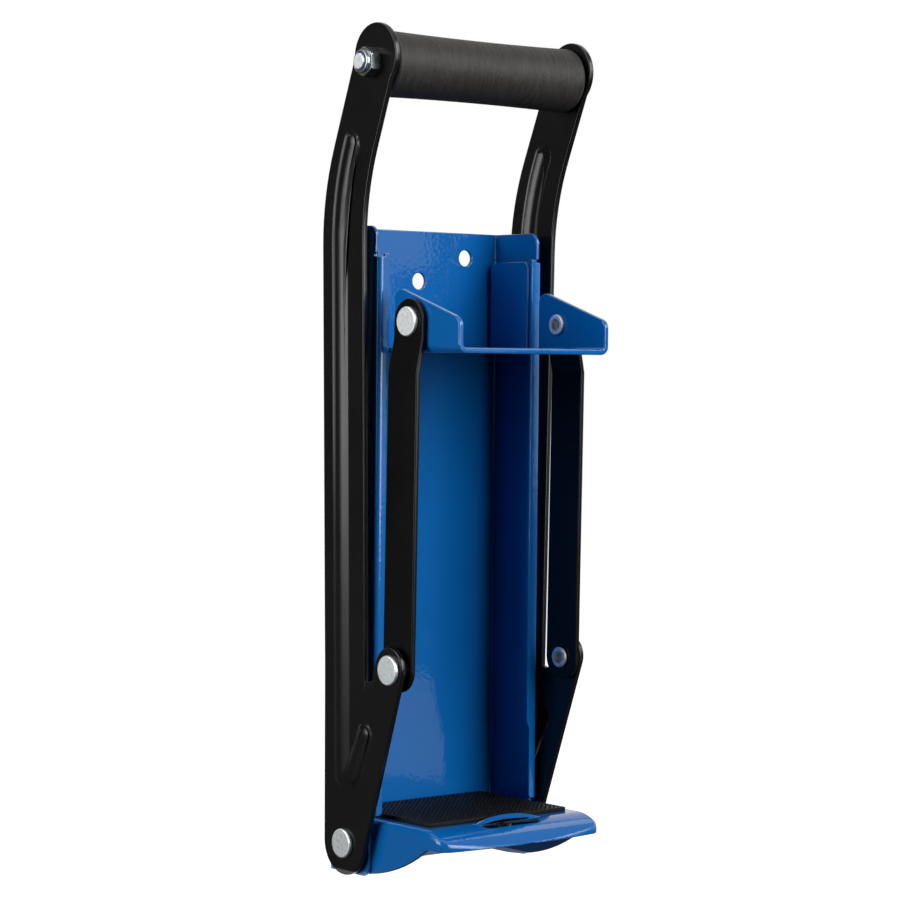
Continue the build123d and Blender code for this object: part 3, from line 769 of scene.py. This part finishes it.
@dataclass
class Lever:
    """Two beaded arms, their crank rivets and the foam handle between them."""

    arm_edge: float = 0.45 * MM
    nut_edge: float = 0.12 * MM
    foam_rows: int = 260
    foam_steps: int = 96
    tube_clearance: float = 0.05 * MM
    waist: float = 0.6 * MM
    rim_round: float = 1.4 * MM
    rim_angles: tuple[float, ...] = (90, 65, 40, 20)
    skin: float = 2 * MM
    pucker: float = 0.18 * MM
    pucker_mm: tuple[float, float] = (1.5, 9.0)
    pucker_bias: float = 0.15

    def build(self) -> None:
        """Build arms, grip and fasteners."""
        for side in Side:
            SheetPart(f"arm_{side.value}", Body.LEVER, ARM_COATING, self.arm_edge).build()
            ZINC.dress(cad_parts[f"crank_rivet_{side.value}"])
        self.build_grip()
        for node in ("grip_tube", "handle_bolt"):
            ZINC.dress(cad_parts[node])
        SheetPart("handle_nut", Body.LEVER, SHADED_NUT_ZINC, self.nut_edge).build()
        NYLON.dress(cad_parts["nut_insert"])

    def sleeve_outline(self, half: float, rim: float, bore: float) -> list[tuple[float, float]]:
        """Outline of the sleeve from end to end, with rounded rims and a slight waist.

        Args:
            half: half its length.
            rim: its outer radius at the ends.
            bore: its inner radius.

        Returns:
            Points as (X, radius).
        """
        skin_line = []
        for row in range(self.foam_rows + 1):
            along = -half + self.rim_round + (2 * half - 2 * self.rim_round) * row / self.foam_rows
            skin_line.append((along, rim - self.waist * (1 - (along / half) ** 2)))
        first_x, first_radius = skin_line[0]
        lead = [
            (first_x - self.rim_round * sin(a), first_radius - self.rim_round * (1 - cos(a)))
            for a in map(radians, self.rim_angles)
        ]
        tail = [(-x, radius) for x, radius in reversed(lead)]
        return [(-half, bore)] + lead + skin_line + tail + [(half, bore)]

    def build_grip(self) -> None:
        """Foam sleeve with a slight waist and a puckered skin."""
        low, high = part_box("grip_sleeve")
        tube_low, tube_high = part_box("grip_tube")
        centre = (low + high) / 2
        half = (high.x - low.x) / 2
        bore = (tube_high.z - tube_low.z) / 2 + self.tube_clearance
        outline = self.sleeve_outline(half, (high.z - low.z) / 2, bore)
        shape = spun(outline, centre, self.foam_steps)
        along, round_grip = [per_metre(size) for size in self.pucker_mm]
        for vert in shape.verts:
            arm = Vector((0, vert.co.y - centre.y, vert.co.z - centre.z))
            if arm.length < bore + self.skin or abs(vert.co.x) > half - self.rim_round:
                continue
            spot = Vector((vert.co.x * along, vert.co.y * round_grip, vert.co.z * round_grip))
            dip = min(0.0, noise.noise(spot) + self.pucker_bias) * self.pucker
            vert.co += arm.normalized() * dip
        place_piece(new_piece("grip_foam_sleeve", shape), Body.LEVER, GRIP_FOAM, "grip_sleeve")


# ---------------------------------------------------------------- studio


def bearing(azimuth: float, elevation: float, distance: float) -> Vector:
    """Place around the middle of the object.

    Args:
        azimuth: degrees from +X towards +Y, so that -90 is the open front.
        elevation: degrees above the level.
        distance: metres from the middle of the object.

    Returns:
        The place, in metres.
    """
    turn, rise = radians(azimuth), radians(elevation)
    return OBJECT_MIDDLE + distance * Vector((cos(turn) * cos(rise), sin(turn) * cos(rise), sin(rise)))


def facing(place: Vector, aim: Vector, front: str) -> Matrix:
    """Stand something in its place with its front axis towards a point.

    Args:
        place: where it stands.
        aim: what it looks at.
        front: its front axis, "Z" or "-Z".

    Returns:
        Its place and turn.
    """
    return Matrix.Translation(place) @ (aim - place).to_track_quat(front, "Y").to_matrix().to_4x4()


@dataclass
class Softbox:
    """A rectangular studio lamp aimed at the middle of the object."""

    name: str
    azimuth: float
    elevation: float
    distance: float
    width: float
    height: float
    brightness: float

    def build(self) -> None:
        """Make the lamp; its power follows from its brightness and its area."""
        lamp = bpy.data.lights.new(self.name, "AREA")
        lamp.shape = "RECTANGLE"
        lamp.size, lamp.size_y = self.width, self.height
        lamp.energy = self.brightness * pi * self.width * self.height
        holder = bpy.data.objects.new(self.name, lamp)
        bpy.context.scene.collection.objects.link(holder)
        holder.matrix_world = facing(
            bearing(self.azimuth, self.elevation, self.distance), OBJECT_MIDDLE, "-Z"
        )


@dataclass
class Card:
    """A studio card of one even tone that only reflections see."""

    name: str
    stand: Matrix
    width: float
    height: float
    tone: float

    def build(self) -> None:
        """Cut the card, stand it in its place and hide it from all but reflections."""
        shape = bmesh.new()
        spread = self.stand @ Matrix.Diagonal((self.width / 2, self.height / 2, 1, 1))
        bmesh.ops.create_grid(shape, x_segments=1, y_segments=1, size=1, matrix=spread)
        card = new_piece(self.name, shape)
        made = bpy.data.materials.new("card_board")
        tree = empty_tree(made)
        board = add_node(tree, "Emission", {"Color": WHITE, "Strength": self.tone})
        add_node(tree, "OutputMaterial", {"Surface": board.outputs[0]})
        card.data.materials.append(made)
        card.visible_camera = card.visible_diffuse = card.visible_shadow = False
        card.visible_transmission = False
        card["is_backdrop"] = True


@dataclass
class Studio:
    """Camera, lamps, cards, floor and white surroundings."""

    lens_mm: float = 112.12
    camera_place: Vector = field(default_factory=lambda: Vector((-696.9, -858.2, -33.0)) * MM)
    heading: float = radians(39.79)
    pitch: float = radians(-1.73)
    roll: float = radians(0.58)
    surround_light: float = 0.03
    sight_azimuth: float = -51.3
    sight_distance: float = 0.3
    sight_tone: float = 0.01
    opening_bearing: float = -52.5
    opening_run: tuple[float, float] = (0.2, 0.66)
    opening_span: tuple[float, float] = (-0.06, 0.035)
    opening_tone: float = 0.72
    foot_reach: float = 3.0
    foot_tone: float = 0.1
    foot_gap: float = 2 * MM
    lever_reach: float = 270 * MM
    floor_radius: float = 9.0
    floor_glow: tuple[float, float] = (0.8, 1.0)
    glow_run: tuple[float, float] = (0.3, 1.6)

    def build_camera(self) -> None:
        """Place the camera as the photograph's own was found to stand."""
        ahead = Vector(
            (sin(self.heading) * cos(self.pitch), cos(self.heading) * cos(self.pitch), sin(self.pitch))
        )
        level = Vector((cos(self.heading), -sin(self.heading), 0))
        above = level.cross(ahead)
        right = cos(self.roll) * level + sin(self.roll) * above
        up = -sin(self.roll) * level + cos(self.roll) * above
        lens = bpy.data.cameras.new("camera")
        lens.lens, lens.sensor_width, lens.sensor_fit = self.lens_mm, 36.0, "HORIZONTAL"
        lens.clip_start, lens.clip_end = 0.05, 60.0
        camera = bpy.data.objects.new("camera", lens)
        bpy.context.scene.collection.objects.link(camera)
        camera.matrix_world = Matrix.Translation(self.camera_place) @ Matrix(
            (right, up, -ahead)
        ).transposed().to_4x4()
        bpy.context.scene.camera = camera

    def seen_directly(self, tree: bpy.types.NodeTree) -> bpy.types.NodeSocket:
        """Tell the rays that the eye follows from those that light the object.

        Args:
            tree: node tree that gets the nodes.

        Returns:
            One for rays of the camera and for mirrored and refracted rays, else zero.
        """
        path = add_node(tree, "LightPath", {}).outputs
        first = add_node(
            tree, "Math", {0: path["Is Camera Ray"], 1: path["Is Glossy Ray"]}, operation="MAXIMUM"
        )
        both = add_node(
            tree, "Math", {0: first.outputs[0], 1: path["Is Transmission Ray"]}, operation="MAXIMUM"
        )
        return both.outputs[0]

    def build_surroundings(self) -> None:
        """White all round for the eye, a faint fill for the object."""
        world = bpy.data.worlds.new("studio")
        bpy.context.scene.world = world
        world.use_nodes = True
        tree = world.node_tree
        tree.nodes.clear()
        fill = add_node(tree, "Background", {"Color": WHITE, "Strength": self.surround_light})
        white = add_node(tree, "Background", {"Color": WHITE, "Strength": 1.0})
        mix = add_node(
            tree, "MixShader", {0: self.seen_directly(tree), 1: fill.outputs[0], 2: white.outputs[0]}
        )
        add_node(tree, "OutputWorld", {"Surface": mix.outputs[0]})

    def build_floor(self) -> None:
        """Pale floor, below the reach of the lever, since the crusher hangs on a wall."""
        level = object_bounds()[0][2] - self.lever_reach
        shape = bmesh.new()
        bmesh.ops.create_circle(
            shape, cap_ends=True, segments=96, radius=self.floor_radius,
            matrix=Matrix.Translation((0, 0, level)),
        )
        floor = new_piece("floor", shape)
        made = bpy.data.materials.new("white_laminate")
        tree = empty_tree(made)
        laminate = add_node(tree, "BsdfDiffuse", {"Color": linear("#F4F4F4")})
        shade = add_node(tree, "BsdfDiffuse", {"Color": linear("#2E2E2E")})
        place = add_node(tree, "TexCoord", {}).outputs["Object"]
        distance = add_node(tree, "VectorMath", {0: place}, operation="LENGTH")
        near, far = self.glow_run
        dim, full = self.floor_glow
        fade = add_node(
            tree, "MapRange",
            {
                "Value": distance.outputs["Value"], "From Min": near, "From Max": far, "To Min": dim,
                "To Max": full,
            },
            interpolation_type="SMOOTHSTEP",
        )
        glow = add_node(tree, "Emission", {"Color": WHITE, "Strength": fade.outputs[0]})
        both = add_node(tree, "AddShader", {0: laminate.outputs[0], 1: glow.outputs[0]})
        mix = add_node(
            tree, "MixShader", {0: self.seen_directly(tree), 1: shade.outputs[0], 2: both.outputs[0]}
        )
        add_node(tree, "OutputMaterial", {"Surface": mix.outputs[0]})
        floor.data.materials.append(made)
        floor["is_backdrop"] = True

    def build_lamps(self) -> None:
        """Large soft lamps: one for the front, one for the left sides, one for the front right."""
        for name, azimuth, elevation, distance, width, height, brightness in (
            ("front_softbox", -75, 18, 1.6, 1.05, 1.5, 5.6),
            ("side_softbox", 169, 10, 1.5, 1.0, 1.8, 4.9),
            ("right_softbox", -48, 27, 1.8, 0.9, 0.8, 4.2),
        ):
            Softbox(name, azimuth, elevation, distance, width, height, brightness).build()

    def build_cards(self) -> None:
        """Cards for what the object mirrors besides the lamps and the white room."""
        for name, left, right, low, high in (
            ("plate_card", -41, 22, -188, -10), ("press_card", -14, 22, -10, 14), ("tab_card", 8, 22, 14, 60),
        ):
            self.build_sight_card(name, left * MM, right * MM, low * MM, high * MM)
        for name, azimuth, elevation, distance, width, height, tone in (
            ("camera_card", -133, 25, 1.6, 1.9, 1.9, 0.02),
            ("lip_card", 2, 48, 1.5, 1.5, 0.5, 0.45),
            ("lip_highlight_card", 15, 47, 1.3, 0.3, 0.42, 1.7),
            ("rear_card", 124, 16, 1.7, 0.97, 1.6, 0.03),
        ):
            stand = facing(bearing(azimuth, elevation, distance), OBJECT_MIDDLE, "Z")
            Card(name, stand, width, height, tone).build()
        self.build_foot_cards()

    def build_sight_card(self, name: str, left: float, right: float, low: float, high: float) -> None:
        """Dark card across the sight line in which the back plate mirrors the room.

        Args:
            name: name of the card.
            left: its left edge, from the sight line through the origin.
            right: its right edge, from the same line.
            low: height of its lower edge.
            high: height of its upper edge.
        """
        turn = radians(self.sight_azimuth)
        ahead, across = Vector((cos(turn), sin(turn), 0)), Vector((-sin(turn), cos(turn), 0))
        place = ahead * self.sight_distance + across * (left + right) / 2 + Vector((0, 0, (low + high) / 2))
        Card(name, facing(place, place - ahead, "Z"), right - left, high - low, self.sight_tone).build()

    def build_foot_cards(self) -> None:
        """Grey cards at the foot, round a brighter one that the back plate mirrors low down."""
        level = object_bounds()[0][2] + self.foot_gap
        near, far = self.opening_run
        left, right = self.opening_span
        end, grey = self.foot_reach, self.foot_tone
        turn = Matrix.Rotation(radians(self.opening_bearing), 4, "Z")
        for name, low_x, high_x, low_y, high_y, tone in (
            ("near_card", -end, near, -end, end, grey), ("far_card", far, end, -end, end, grey),
            ("left_card", near, far, right, end, grey), ("right_card", near, far, -end, left, grey),
            ("opening_card", near, far, left, right, self.opening_tone),
        ):
            spot = turn @ Vector(((low_x + high_x) / 2, (low_y + high_y) / 2, 0)) + Vector((0, 0, level))
            stand = Matrix.Translation(spot) @ turn
            Card(name, stand, high_x - low_x, high_y - low_y, tone).build()

    def build(self) -> None:
        """Build the whole studio."""
        bpy.context.scene.view_settings.view_transform = "Standard"
        self.build_camera()
        self.build_surroundings()
        self.build_floor()
        self.build_lamps()
        self.build_cards()


# ---------------------------------------------------------------- all together


def main() -> None:
    """Build the studio and every sub-assembly."""
    logging.basicConfig(level=logging.INFO, format="%(name)s: %(message)s")
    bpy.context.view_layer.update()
    builders: list[Callable[[], None]] = [
        Studio().build, FrameAssembly().build, TreadPad().build, PressAssembly().build, Linkage().build,
        Lever().build,
    ]
    for build in builders:
        build()


if __name__ == "__main__":
    main()
